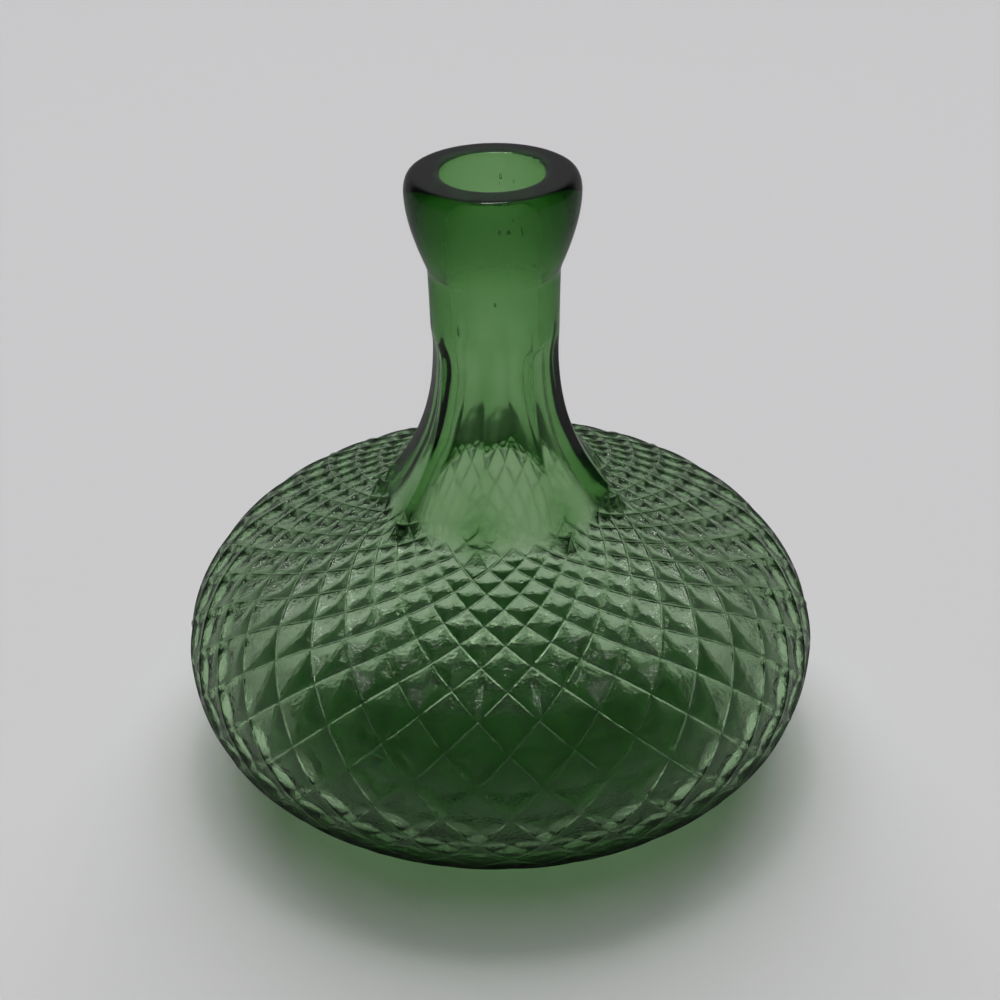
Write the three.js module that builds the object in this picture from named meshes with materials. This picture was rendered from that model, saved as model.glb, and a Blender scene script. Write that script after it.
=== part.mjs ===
// A squat decanter of green glass: a bowl pressed all over with diamonds, an eight-fluted neck and a
// thick rolled collar. Millimetres and degrees, +Z up, the origin in the middle of the foot, on the
// plane that it stands on. The front of the decanter faces -Y.
//
// The glass is one skin on the real decanter. It is built here as the four stretches that a glassmaker
// names, which meet on the lines where the parts of a bottle mould meet: the base plate inside the heel,
// the bowl up to the foot of the neck, the neck up to its collar, and the collar.

import * as THREE from 'three';

// Bowl, to the crests of its ridges
const bellyRadius = 80;
const bellyHeight = 32;
const shoulderRise = 37; // from the belly up to the innermost ring of diamonds
const shoulderRadius = 29.2;
const shoulderSlope = 13;
const shoulderFullness = 10; // how far a curve keeps its direction at that end
const kneeRadius = 62.8; // where the belly's tight curve turns into the flatter shoulder
const kneeRise = 24.8;
const kneeSlope = 21.5;
const kneeInnerFullness = 11.6;
const kneeOuterFullness = 9.4;
const bellyFullness = 9.1;
const bowlWall = 4.5;

// Base
const heelRadius = 47;
const heelHeight = 0.8;
const heelSlope = 9;
const heelFullness = 26.9;
const underbellyFullness = 15.6;
const footWidth = 8; // of the flat ring that it stands on
const footChamfer = 0.8;
const puntDepth = 3;
const baseThickness = 5.6;

// Diamonds
const columns = 32;
const upperPitch = 0.104; // half the height of a diamond above the belly, as a share of its radius
const lowerPitch = 7.4; // half the height of the first diamond below the belly
const lowerShrink = 0.76; // each row below it is lower by this factor, down to the least pitch
const leastPitch = 3.3;
const plainHeelWidth = 16; // least width of plain glass between the diamonds and the heel
const bellyDiamondDepth = 1.1;
const shoulderDiamondDepth = 0.7;
const patternTurn = 1.335; // from the front towards +X, to the first column of ridge crossings

// Neck
const fluteCount = 8;
const firstRibColumn = -1; // column of crossings that the first rib between two flutes stands on
const neckLength = 62.7; // from the shoulder ring up to the collar
const neckRadius = 15.2;
const neckTopRadius = 15.56;
const flareTop = 43.7; // above the shoulder ring, where the neck starts to widen
const flareRadius = 33.3; // of the ribs where they run out on the shoulder
const flareSlope = 43;
const flareTopFullness = 20.3;
const flareFootFullness = 16.7;
const neckFootRise = 0.9; // plane of the neck's foot, above the shoulder ring
const ribClearance = 0.5; // from a rib's foot to the rows of diamonds that give way to it
const fluteDepth = 1.0;
const fluteFootDepth = 4.2;
const fluteFootBlend = 16; // height over which the flutes deepen towards the foot
const fluteTopRise = 48; // above the shoulder ring, the crown of each flute's arched top
const fluteArchHeight = 8;
const neckBoreRadius = 11.4;
const boreFlareTop = 36; // above the shoulder ring, where the bore starts to widen
const boreFlareRadius = 30;
const boreFlareTopFullness = 20;
const boreFlareFootFullness = 8;

// Collar
const collarFootFullness = 11.3; // how far up the collar keeps the slope of its foot
const collarWidestRise = 18.6;
const collarRadius = 20.4;
const lipRoundWidth = 2;
const lipRoundHeight = 4.2;
const mouthRadius = 11.7;
const mouthRound = 1.2;

// Facets: how many steps each curve is drawn in, besides the rows of diamonds
const flareSteps = 9;
const archSteps = 3;
const boreFlareSteps = 6;
const boreFootSteps = 3;
const footCrowding = 1.5; // above 1, the steps of the neck lie closer together towards its foot
const bowlInsideSteps = 6; // on each side of the belly
const puntSteps = 4;
const swellSteps = 6;
const lipSteps = 4;
const mouthSteps = 3;

// Heights worked out from the sizes above
const shoulderHeight = bellyHeight + shoulderRise;
const neckFootHeight = shoulderHeight + neckFootRise;
const collarHeight = shoulderHeight + neckLength;
const lipHeight = collarHeight + collarWidestRise + lipRoundHeight;

const radians = THREE.MathUtils.degToRad;
const stations = 2 * columns; // each ring has a point on every crossing and one midway between them
const stationsPerFlute = stations / fluteCount;

// Outlines, as radius across and height up

const point = (radius, height) => new THREE.Vector2(radius, height);

function curve(start, leavingStart, arrivingAtEnd, end) {
  return new THREE.CubicBezierCurve(start, leavingStart, arrivingAtEnd, end);
}

const belly = point(bellyRadius, bellyHeight);
const knee = point(kneeRadius, bellyHeight + kneeRise);
const kneeDirection = point(Math.cos(radians(kneeSlope)), -Math.sin(radians(kneeSlope)));
const shoulder = point(shoulderRadius, shoulderHeight);
const shoulderDirection = point(Math.cos(radians(shoulderSlope)), -Math.sin(radians(shoulderSlope)));
const heel = point(heelRadius, heelHeight);
const heelDirection = point(Math.cos(radians(heelSlope)), Math.sin(radians(heelSlope)));

const upperBelly = curve(
  belly,
  point(bellyRadius, bellyHeight + bellyFullness),
  knee.clone().addScaledVector(kneeDirection, kneeOuterFullness),
  knee,
);
const upperShoulder = curve(
  knee,
  knee.clone().addScaledVector(kneeDirection, -kneeInnerFullness),
  shoulder.clone().addScaledVector(shoulderDirection, shoulderFullness),
  shoulder,
);
const underBelly = curve(
  belly,
  point(bellyRadius, bellyHeight - underbellyFullness),
  heel.clone().addScaledVector(heelDirection, heelFullness),
  heel,
);

// The ribs of the neck follow this line from the straight neck down and out over the shoulder.
const flareStart = point(neckRadius, shoulderHeight + flareTop);
const flareEnd = point(flareRadius, shoulderHeight);
const flareDirection = point(Math.cos(radians(flareSlope)), -Math.sin(radians(flareSlope)));
const flare = curve(
  flareStart,
  point(neckRadius, flareStart.y - flareTopFullness),
  flareEnd.clone().addScaledVector(flareDirection, -flareFootFullness),
  flareEnd,
);

const samplesPerCurve = 200;

// A chain of points along several curves, so that a point can be found by radius, height or travel.
function chain(...curves) {
  const points = [];
  for (const piece of curves) {
    const samples = piece.getPoints(samplesPerCurve);
    points.push(...(points.length ? samples.slice(1) : samples));
  }
  return points;
}

// The point on a chain where the given measure first passes a value.
function pointWhere(points, measure, value) {
  for (let i = 1; i < points.length; i += 1) {
    const before = measure(points[i - 1], i - 1);
    const after = measure(points[i], i);
    if ((before - value) * (after - value) <= 0 && before !== after) {
      return points[i - 1].clone().lerp(points[i], (value - before) / (after - before));
    }
  }
  return points[points.length - 1].clone();
}

const byRadius = (p) => p.x;
const byHeight = (p) => p.y;

// Moves a chain by a wall's thickness, towards the inside of the glass vessel.
function inset(points, thickness) {
  return points.map((p, i) => {
    const before = points[Math.max(i - 1, 0)];
    const after = points[Math.min(i + 1, points.length - 1)];
    const along = after.clone().sub(before).normalize();
    return point(p.x - along.y * thickness, p.y + along.x * thickness);
  });
}

const upperOutline = chain(upperBelly, upperShoulder).reverse(); // from the shoulder ring to the belly
const lowerOutline = chain(underBelly); // from the belly to the heel
const flareOutline = chain(flare);

// Distance travelled along a chain, each step weighed by a share of the radius where it lies.
function travelAlong(points, weigh) {
  const travelled = [0];
  for (let i = 1; i < points.length; i += 1) {
    travelled.push(travelled[i - 1] + points[i].distanceTo(points[i - 1]) / weigh(points[i].x));
  }
  return travelled;
}

// Above the belly the diamonds keep their shape as the bowl widens, so each row's height follows its
// radius. The rows are counted in pairs, which puts a ring of crossings on the belly line.
function upperRows() {
  const travelled = travelAlong(upperOutline, (radius) => radius);
  const total = travelled[travelled.length - 1];
  const count = 2 * Math.round(total / upperPitch / 2);
  return Array.from({ length: count + 1 }, (unused, row) => (
    pointWhere(upperOutline, (p, i) => travelled[i], (total * row) / count)
  ));
}

// Below the belly the rows crowd together, and stop short of the heel.
function lowerRows() {
  const travelled = travelAlong(lowerOutline, () => 1);
  const end = travelled[travelled.length - 1] - plainHeelWidth;
  const rows = [];
  let pitch = lowerPitch;
  for (let travel = lowerPitch; travel <= end; travel += pitch) {
    rows.push(pointWhere(lowerOutline, (p, i) => travelled[i], travel));
    pitch = Math.max(leastPitch, pitch * lowerShrink);
  }
  return rows;
}

// Rings of points round the axis

function ringPoint(station, radius, height) {
  const angle = radians(patternTurn) + (station * Math.PI) / columns;
  return new THREE.Vector3(radius * Math.sin(angle), -radius * Math.cos(angle), height);
}

function ring(radiusAt, heightAt) {
  return Array.from({ length: stations }, (unused, k) => ringPoint(k, radiusAt(k), heightAt(k)));
}

const roundRing = (p) => ring(() => p.x, () => p.y);
const pole = (height) => [new THREE.Vector3(0, 0, height)];

// A closed skin over rings that run up the outside of a wall and down its inside. Where a ring lies in
// the diamonds, each four-sided patch is folded from its ridge crossing.
function skin(rings, closed, crossingAt = () => true) {
  const positions = [];
  const starts = [];
  for (const points of rings) {
    starts.push(positions.length / 3);
    for (const p of points) positions.push(p.x, p.y, p.z);
  }
  const triangles = [];
  const last = closed ? rings.length : rings.length - 1;
  for (let i = 0; i < last; i += 1) {
    const j = (i + 1) % rings.length;
    for (let k = 0; k < stations; k += 1) {
      const next = (k + 1) % stations;
      const low = starts[i] + k;
      const lowNext = starts[i] + next;
      const high = starts[j] + k;
      const highNext = starts[j] + next;
      if (rings[i].length === 1) {
        triangles.push(starts[i], highNext, high);
      } else if (rings[j].length === 1) {
        triangles.push(low, lowNext, starts[j]);
      } else if (crossingAt(i, k)) {
        triangles.push(low, lowNext, highNext, low, highNext, high);
      } else {
        triangles.push(low, lowNext, high, lowNext, highNext, high);
      }
    }
  }
  const geometry = new THREE.BufferGeometry();
  geometry.setAttribute('position', new THREE.Float32BufferAttribute(positions, 3));
  geometry.setIndex(triangles);
  geometry.computeVertexNormals();
  return geometry;
}

// Neck

function neckRibRadius(height) {
  if (height >= flareStart.y) {
    const share = (height - flareStart.y) / (collarHeight - flareStart.y);
    return neckRadius + share * (neckTopRadius - neckRadius);
  }
  return pointWhere(flareOutline, byHeight, height).x;
}

// How far the middle of a flute lies inside its ribs: shallow on the straight neck, deeper at the foot,
// and running out at the top, where the round neck cuts each flute off in an arch.
function fluteDepthAt(height) {
  const aboveFoot = (height - neckFootHeight) / fluteFootBlend;
  const deepening = Math.max(0, 1 - aboveFoot) ** 2;
  const depth = fluteDepth + (fluteFootDepth - fluteDepth) * deepening;
  const belowCrown = (shoulderHeight + fluteTopRise - height) / fluteArchHeight;
  const runOut = belowCrown >= 1 ? 0 : (1 - belowCrown) ** 2 * fluteDepth;
  return depth - runOut;
}

function neckOuterRadius(station, height) {
  const rib = neckRibRadius(height);
  const fromRib = THREE.MathUtils.euclideanModulo(station - 2 * firstRibColumn, stationsPerFlute);
  const acrossFlute = (2 * fromRib) / stationsPerFlute - 1;
  const hollow = rib - fluteDepthAt(height) + fluteDepth * acrossFlute ** 2;
  const footHollow = (fluteDepthAt(height) - fluteDepth) * acrossFlute ** 2;
  return Math.min(rib, hollow + Math.max(0, footHollow));
}

const upperInside = inset(chain(upperBelly, upperShoulder), bowlWall);
const boreFlareEnd = pointWhere(upperInside, byRadius, boreFlareRadius);
const boreFlareStart = point(neckBoreRadius, shoulderHeight + boreFlareTop);
const boreFlare = chain(curve(
  boreFlareStart,
  point(neckBoreRadius, boreFlareStart.y - boreFlareTopFullness),
  boreFlareEnd.clone().addScaledVector(shoulderDirection, -boreFlareFootFullness),
  boreFlareEnd,
));

function boreRadiusAt(height) {
  if (height >= boreFlareStart.y) {
    const share = (height - boreFlareStart.y) / (lipHeight - mouthRound - boreFlareStart.y);
    return neckBoreRadius + share * (mouthRadius - neckBoreRadius);
  }
  return pointWhere(boreFlare, byHeight, height).x;
}

// Heights from one plane to another, evenly spaced or crowded towards the first one.
function spreadHeights(from, to, steps, crowding = 1) {
  return Array.from({ length: steps + 1 }, (unused, i) => (
    from + (to - from) * (i / steps) ** crowding
  ));
}

function flutedNeck() {
  const flareHeights = spreadHeights(neckFootHeight, flareStart.y, flareSteps, footCrowding);
  const crown = shoulderHeight + fluteTopRise;
  const archHeights = spreadHeights(flareStart.y, crown, archSteps).slice(1);
  const outerHeights = [...flareHeights, ...archHeights, collarHeight];
  const boreHeights = spreadHeights(neckFootHeight, boreFlareStart.y, boreFlareSteps, footCrowding);
  boreHeights.push(collarHeight);
  const outside = outerHeights.map((h) => ring((k) => neckOuterRadius(k, h), () => h));
  const inside = boreHeights.map((h) => roundRing(point(boreRadiusAt(h), h))).reverse();
  return skin([...outside, ...inside], true);
}

// Collar

function lipCollar() {
  const foot = point(neckTopRadius, collarHeight);
  const widest = point(collarRadius, collarHeight + collarWidestRise);
  const swell = new THREE.QuadraticBezierCurve(
    foot,
    point(collarRadius, collarHeight + collarFootFullness),
    widest,
  ).getPoints(swellSteps);
  const lip = new THREE.EllipseCurve(
    collarRadius - lipRoundWidth, widest.y, lipRoundWidth, lipRoundHeight, 0, Math.PI / 2,
  ).getPoints(lipSteps).slice(1);
  const mouth = new THREE.EllipseCurve(
    mouthRadius + mouthRound, lipHeight - mouthRound, mouthRound, mouthRound, Math.PI / 2, Math.PI,
  ).getPoints(mouthSteps);
  const boreFoot = point(boreRadiusAt(collarHeight), collarHeight);
  return skin([...swell, ...lip, ...mouth, boreFoot].map(roundRing), true);
}

// Bowl

function diamondDepthAt(radius) {
  const share = THREE.MathUtils.clamp((radius - shoulderRadius) / (bellyRadius - shoulderRadius), 0, 1);
  return shoulderDiamondDepth + share * (bellyDiamondDepth - shoulderDiamondDepth);
}

// Each row's ring runs through the crossings of its ridges and, sunk between them, the middles of its
// diamonds. Near the neck the rows give way to the feet of the ribs.
function diamondRing(rows, row) {
  const here = rows[row];
  const before = rows[Math.max(row - 1, 0)];
  const after = rows[Math.min(row + 1, rows.length - 1)];
  const outward = point(before.y - after.y, after.x - before.x).normalize();
  return Array.from({ length: stations }, (unused, k) => {
    const crossing = (row + k) % 2 === 0;
    const sunk = crossing ? 0 : diamondDepthAt(here.x);
    const p = here.clone().addScaledVector(outward, -sunk);
    const besideRib = neckOuterRadius(k, neckFootHeight) + ribClearance * (row + 1);
    if (p.y > bellyHeight && p.x < besideRib) {
      return ringPoint(k, besideRib, pointWhere(upperOutline, byRadius, besideRib).y - sunk);
    }
    return ringPoint(k, p.x, p.y);
  });
}

function diamondBowl() {
  const rows = [...upperRows(), ...lowerRows()];
  const diamonds = rows.map((unused, row) => diamondRing(rows, row)).reverse();
  const lastRow = rows.length - 1;
  const footPlane = ring((k) => neckOuterRadius(k, neckFootHeight), () => neckFootHeight);
  const outside = [roundRing(heel), ...diamonds, footPlane];

  const inside = spreadHeights(neckFootHeight, boreFlareEnd.y, boreFootSteps)
    .map((h) => roundRing(point(boreRadiusAt(h), h)));
  const outwards = [...upperInside].reverse();
  const widening = bellyRadius - bowlWall - boreFlareRadius;
  for (let i = 1; i <= bowlInsideSteps; i += 1) {
    const share = 1 - (1 - i / bowlInsideSteps) ** 2;
    inside.push(roundRing(pointWhere(outwards, byRadius, boreFlareRadius + widening * share)));
  }
  const lowerInside = inset(lowerOutline, -bowlWall);
  for (let i = 1; i < bowlInsideSteps; i += 1) {
    inside.push(roundRing(lowerInside[Math.round((samplesPerCurve * i) / bowlInsideSteps)]));
  }
  inside.push(roundRing(point(heelRadius, heelHeight + baseThickness)));
  return skin([...outside, ...inside], true, (i, k) => (lastRow - (i - 1) + k) % 2 === 0);
}

// Base

function basePlate() {
  const footOuter = heelRadius - footChamfer;
  const footInner = footOuter - footWidth;
  const floorHeight = heelHeight + baseThickness;
  const dome = (radius, height, share) => (
    roundRing(point(radius * share, height + puntDepth * (1 - share ** 2)))
  );
  const rings = [pole(puntDepth)];
  for (let i = 1; i <= puntSteps; i += 1) {
    rings.push(dome(footInner, 0, i / puntSteps));
  }
  rings.push(roundRing(point(footOuter, 0)));
  rings.push(roundRing(heel));
  for (let i = puntSteps; i > 0; i -= 1) {
    rings.push(dome(heelRadius, floorHeight, i / puntSteps));
  }
  rings.push(pole(floorHeight + puntDepth));
  return skin(rings, false);
}

// The glass, green and clear

function glass(name, geometry) {
  const material = new THREE.MeshStandardMaterial({
    color: 0x3c6b3a,
    roughness: 0.08,
    metalness: 0,
    transparent: true,
    opacity: 0.75,
    flatShading: true,
  });
  const mesh = new THREE.Mesh(geometry, material);
  mesh.name = name;
  return mesh;
}

const decanter = new THREE.Group();
decanter.add(
  glass('base_plate', basePlate()),
  glass('diamond_bowl', diamondBowl()),
  glass('fluted_neck', flutedNeck()),
  glass('lip_collar', lipCollar()),
);

export default decanter;
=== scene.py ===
# %% [markdown]
# # A green glass decanter
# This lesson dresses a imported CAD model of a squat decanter. The real thing is one skin of green glass,
# pressed in a mould: a wide bowl with a lattice of diamonds, a fluted neck and a thick rolled collar.
# The CAD holds it as four stretches that meet face to face. Glass would show each of those meeting faces
# as a mirror inside the wall, so here the whole decanter is made again as one closed skin, in the same
# frame and to the same sizes, and it stands for all four.

import math

import bmesh
import bpy
import numpy as np
from mathutils import Matrix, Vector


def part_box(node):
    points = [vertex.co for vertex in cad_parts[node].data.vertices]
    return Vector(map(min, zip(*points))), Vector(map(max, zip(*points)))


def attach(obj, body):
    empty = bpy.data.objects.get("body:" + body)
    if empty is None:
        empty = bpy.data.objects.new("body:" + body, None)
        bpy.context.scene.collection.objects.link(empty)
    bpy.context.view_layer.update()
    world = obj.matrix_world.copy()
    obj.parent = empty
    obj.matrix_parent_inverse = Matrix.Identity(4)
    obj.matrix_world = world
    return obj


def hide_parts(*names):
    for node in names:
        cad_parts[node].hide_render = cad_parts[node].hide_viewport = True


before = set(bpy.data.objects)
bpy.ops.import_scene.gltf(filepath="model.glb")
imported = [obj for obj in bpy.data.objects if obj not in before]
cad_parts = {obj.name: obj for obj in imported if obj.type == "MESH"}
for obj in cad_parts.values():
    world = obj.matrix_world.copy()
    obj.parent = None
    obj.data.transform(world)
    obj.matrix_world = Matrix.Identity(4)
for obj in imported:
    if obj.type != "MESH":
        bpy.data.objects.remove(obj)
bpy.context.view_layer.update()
print("CAD nodes:", sorted(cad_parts))

# %% [markdown]
# The outlines are drawn in millimetres, as a glassmaker's drawing is, and become metres when the mesh is
# built. Heights that the CAD nodes already hold are read from the frame.

# %% Sizes that the frame gives
TO_METRES = 0.001
neck_foot_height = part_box("fluted_neck")[0].z / TO_METRES
collar_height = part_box("lip_collar")[0].z / TO_METRES
lip_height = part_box("lip_collar")[1].z / TO_METRES
print(f"neck from {neck_foot_height:.1f} to {collar_height:.1f} mm, lip at {lip_height:.1f} mm")

# %% [markdown]
# ## Studio
# The photograph looks down at the decanter by 31 degrees from less than half a metre away, with the
# camera very slightly turned about its own line of sight. A plain pale table fills the picture. The
# light is soft and comes mostly from above and behind, which throws the shadow towards the viewer.

# %% Camera
camera_place = (0.0005, -0.3863, 0.3009)
camera_pitch = 31.11
camera_roll = 0.94
lens_length = 64.8

lens = bpy.data.cameras.new("camera")
lens.sensor_width = 36
lens.lens = lens_length
lens.clip_start = 0.01
camera = bpy.data.objects.new("camera", lens)
camera.matrix_world = (
    Matrix.Translation(camera_place)
    @ Matrix.Rotation(math.radians(90 - camera_pitch), 4, "X")
    @ Matrix.Rotation(math.radians(-camera_roll), 4, "Z")
)
scene = bpy.context.scene
scene.collection.objects.link(camera)
scene.camera = camera
scene.view_settings.view_transform = "Standard"
scene.cycles.blur_glossy = 0
print("camera at", camera_place)

# %% [markdown]
# A material, a world and a geometry tree are all made of nodes, and a few small helpers add them.


# %% Small helpers for node trees
def new_node(tree, kind, **settings):
    """Adds a node. A setting is a property of the node, or else the default of the input of that name."""
    node = tree.nodes.new(kind)
    for name, value in settings.items():
        if hasattr(node, name):
            setattr(node, name, value)
        else:
            node.inputs[name.replace("_", " ").title()].default_value = value
    return node


def math_node(tree, operation, *inputs):
    """Adds a Math node. Each input is a number or the socket that feeds it."""
    node = tree.nodes.new("ShaderNodeMath")
    node.operation = operation
    for socket, value in zip(node.inputs, inputs):
        if isinstance(value, (int, float)):
            socket.default_value = value
        else:
            tree.links.new(value, socket)
    return node.outputs["Value"]


def clear_tree(owner):
    """Gives a material or a world an empty node tree."""
    owner.use_nodes = True
    owner.node_tree.nodes.clear()
    return owner.node_tree


# %% [markdown]
# The table is one large sheet in matt pale paint. To the rays that the glass mirrors its colour is darkened,
# a painted shade that stands for the unlit room in front of the decanter, out of the picture.

# %% Table
table_reach = 4.0
table_drop = 0.0001
table_colour = (0.60, 0.595, 0.605)
# Painted shade: the share of the table's colour that the glass mirrors.
mirror_shade_share = 0.3

corners = [
    (x * table_reach, y * table_reach, -table_drop) for x, y in ((-1, -1), (1, -1), (1, 1), (-1, 1))
]
table_mesh = bpy.data.meshes.new("table")
table_mesh.from_pydata(corners, [], [(0, 1, 2, 3)])
table = bpy.data.objects.new("table", table_mesh)
scene.collection.objects.link(table)

table_paint = bpy.data.materials.new("table_paint")
tree = clear_tree(table_paint)
paint = new_node(tree, "ShaderNodeBsdfDiffuse")
path = new_node(tree, "ShaderNodeLightPath")
# Painted shade: rays that the glass mirrors see the table's colour scaled down.
mirrored = math_node(
    tree, "GREATER_THAN", path.outputs["Is Glossy Ray"], path.outputs["Is Transmission Ray"]
)
shade = new_node(tree, "ShaderNodeVectorMath", operation="SCALE")
shade.inputs[0].default_value = table_colour
tree.links.new(math_node(tree, "MULTIPLY_ADD", mirrored, mirror_shade_share - 1.0, 1.0), shade.inputs["Scale"])
tree.links.new(shade.outputs["Vector"], paint.inputs["Color"])
output = new_node(tree, "ShaderNodeOutputMaterial")
tree.links.new(paint.outputs["BSDF"], output.inputs["Surface"])
table_mesh.materials.append(table_paint)
print("table", 2 * table_reach, "m across")

# %% [markdown]
# Two broad lights do the work: a window behind the decanter and a pale ceiling. They light the table, and
# the glass shows the lit table. The lamps themselves stay out of the glass, which would otherwise mirror
# them as a grey veil.

# %% Broad lights
window_lean = 45.0
window_spread = 70.0
window_power = 2.65
ceiling_lean = 4.0
ceiling_spread = 64.0
ceiling_power = 0.82


def sun_patch(name, lean, spread, power):
    """A far light of the given width that leans back from the vertical and is hidden from the glass."""
    light = bpy.data.lights.new(name, "SUN")
    light.energy = power
    light.angle = math.radians(spread)
    holder = bpy.data.objects.new(name, light)
    holder.rotation_euler = (-math.radians(lean), 0, 0)
    holder.visible_glossy = False
    holder.visible_transmission = False
    scene.collection.objects.link(holder)
    return light


window_light = sun_patch("window_light", window_lean, window_spread, window_power)
ceiling_light = sun_patch("ceiling_light", ceiling_lean, ceiling_spread, ceiling_power)
print("window leans back by", window_lean, "degrees, ceiling by", ceiling_lean)

# %% [markdown]
# The world is a dark room with pale patches in it. Each patch has a middle that leans back from the
# vertical, a reach and a fading edge, all in degrees. Light Path decides which rays see it. Rays that
# left the table and pass through the glass see patches in the place of the two lamps, which is what
# turns the shadow green. Rays that haven't touched the table see a faint ceiling and a faint backdrop.
# Past the table stands pale paper, which only the camera and the rays through the glass see.

# %% World
room_colour = (0.035, 0.035, 0.037, 1)
ceiling_glow = (0.25, 0.25, 0.255, 1)
ceiling_glow_patch = (15, 22, 14)
backdrop_glow = (0.16, 0.16, 0.165, 1)
backdrop_patch = (100, 52, 20)
paper_colour = (0.58, 0.575, 0.585, 1)
paper_share = 0.6
paper_patch = (180, 104, 20)
lamp_patch_fade = 4


def leaning(degrees):
    """Unit vector that leans back from the vertical by an angle."""
    return (0, math.sin(math.radians(degrees)), math.cos(math.radians(degrees)))


def world_part(tree, view, share, patch, colour):
    """Light from every direction within a patch, fading out at its edge, for a share of the rays."""
    lean, edge, fade = patch
    toward = new_node(tree, "ShaderNodeVectorMath", operation="DOT_PRODUCT")
    tree.links.new(view, toward.inputs[0])
    toward.inputs[1].default_value = leaning(lean)
    ramp = new_node(tree, "ShaderNodeMapRange", interpolation_type="SMOOTHSTEP")
    ramp.inputs["From Min"].default_value = math.cos(math.radians(edge + fade / 2))
    ramp.inputs["From Max"].default_value = math.cos(math.radians(edge - fade / 2))
    tree.links.new(toward.outputs["Value"], ramp.inputs["Value"])
    part = new_node(tree, "ShaderNodeBackground", Color=colour)
    tree.links.new(math_node(tree, "MULTIPLY", ramp.outputs["Result"], share), part.inputs["Strength"])
    return part.outputs["Background"]


def patch_radiance(spread, power):
    """Brightness of a patch that gives the same light as a far lamp of that width."""
    return (power / (math.pi * math.sin(math.radians(spread / 2)) ** 2),) * 3 + (1,)


window_patch = (window_lean, window_spread / 2, lamp_patch_fade)
ceiling_patch = (ceiling_lean, ceiling_spread / 2, lamp_patch_fade)

world = bpy.data.worlds.new("studio")
scene.world = world
tree = clear_tree(world)
view = new_node(tree, "ShaderNodeTexCoord").outputs["Generated"]
path = new_node(tree, "ShaderNodeLightPath")
from_table = math_node(tree, "GREATER_THAN", path.outputs["Diffuse Depth"], 0.5)
through_glass = math_node(tree, "MULTIPLY", from_table, path.outputs["Is Transmission Ray"])
in_the_glass = math_node(tree, "SUBTRACT", 1.0, from_table)
light = new_node(tree, "ShaderNodeBackground", Color=room_colour, Strength=1.0).outputs["Background"]
paper = new_node(tree, "ShaderNodeBackground", Color=paper_colour)
tree.links.new(path.outputs["Is Camera Ray"], paper.inputs["Strength"])
seen_through = math_node(tree, "MULTIPLY", in_the_glass, path.outputs["Is Transmission Ray"])
low_paper = math_node(tree, "MULTIPLY", seen_through, paper_share)
for part in (
    paper.outputs["Background"],
    world_part(tree, view, low_paper, paper_patch, paper_colour),
    world_part(tree, view, through_glass, window_patch, patch_radiance(window_spread, window_power)),
    world_part(tree, view, through_glass, ceiling_patch, patch_radiance(ceiling_spread, ceiling_power)),
    world_part(tree, view, in_the_glass, ceiling_glow_patch, ceiling_glow),
    world_part(tree, view, in_the_glass, backdrop_patch, backdrop_glow),
):
    both = new_node(tree, "ShaderNodeAddShader")
    tree.links.new(light, both.inputs[0])
    tree.links.new(part, both.inputs[1])
    light = both.outputs["Shader"]
output = new_node(tree, "ShaderNodeOutputWorld")
tree.links.new(light, output.inputs["Surface"])
print("world with", len(tree.nodes), "nodes")

# %% [markdown]
# Pressed glass sparkles where a facet or a wave in it throws a lamp back to the eye. Broad light can't do
# that, so one small lamp hangs behind the decanter.

# %% Lamp for the sparkle
lamp_place = (0.0, 0.42, 1.55)
lamp_width = 0.3
lamp_power = 2.2

lamp_light = bpy.data.lights.new("spark_lamp", "AREA")
lamp_light.shape = "DISK"
lamp_light.size = lamp_width
lamp_light.energy = lamp_power
lamp = bpy.data.objects.new("spark_lamp", lamp_light)
lamp.location = lamp_place
lamp.rotation_euler = (-math.atan2(lamp_place[1], lamp_place[2]), 0, 0)
scene.collection.objects.link(lamp)
print("lamp at", lamp_place)

# %% [markdown]
# ## Outline of the bowl
# A mould for a round vessel is turned from an outline, so the bowl starts as one too: three Bezier
# curves from the innermost ring of diamonds, over the knee, round the belly and under to the heel. The
# number beside each end of a curve is how far its handle pulls.


# %% Curves
def direction(degrees):
    """Unit vector at an angle above the radius."""
    return np.array([math.cos(math.radians(degrees)), math.sin(math.radians(degrees))])


def bezier(start, leaving, arriving, end, steps=400):
    """Points along a Bezier curve, given its ends and its two handles."""
    t = np.linspace(0, 1, steps + 1)[:, None]
    start, leaving, arriving, end = (np.asarray(p, float) for p in (start, leaving, arriving, end))
    near_start = (1 - t) ** 3 * start + 3 * t * (1 - t) ** 2 * leaving
    return near_start + 3 * t * t * (1 - t) * arriving + t**3 * end


def chain(*curves):
    """One outline out of curves that start where the one before ends."""
    return np.vstack([curves[0], *(curve[1:] for curve in curves[1:])])


def travel_along(points):
    """Distance from the start to each point of an outline."""
    return np.r_[0, np.cumsum(np.hypot(*np.diff(points, axis=0).T))]


def normals_of(points):
    """Unit normals of an outline, to the left of its travel."""
    along = np.gradient(points, travel_along(points), axis=0)
    along /= np.linalg.norm(along, axis=1, keepdims=True)
    return np.c_[-along[:, 1], along[:, 0]]


# %% Bowl outline, to the crests of its ridges
belly = np.array([80.0, 32.0])
shoulder = np.array([29.2, belly[1] + 37.0])
knee = np.array([62.8, belly[1] + 24.8])
heel = np.array([47.0, 0.8])
shoulder_slope = -13.0
knee_slope = -21.5
heel_slope = 9.0

upper_bowl = chain(
    bezier(
        shoulder,
        shoulder + 10.0 * direction(shoulder_slope),
        knee - 11.6 * direction(knee_slope),
        knee,
    ),
    bezier(knee, knee + 9.4 * direction(knee_slope), belly + (0, 9.1), belly),
)
lower_bowl = bezier(belly, belly - (0, 15.6), heel + 26.9 * direction(heel_slope), heel)
print(f"bowl outline: {travel_along(upper_bowl)[-1]:.1f} mm above the belly, "
      f"{travel_along(lower_bowl)[-1]:.1f} mm below")

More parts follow.
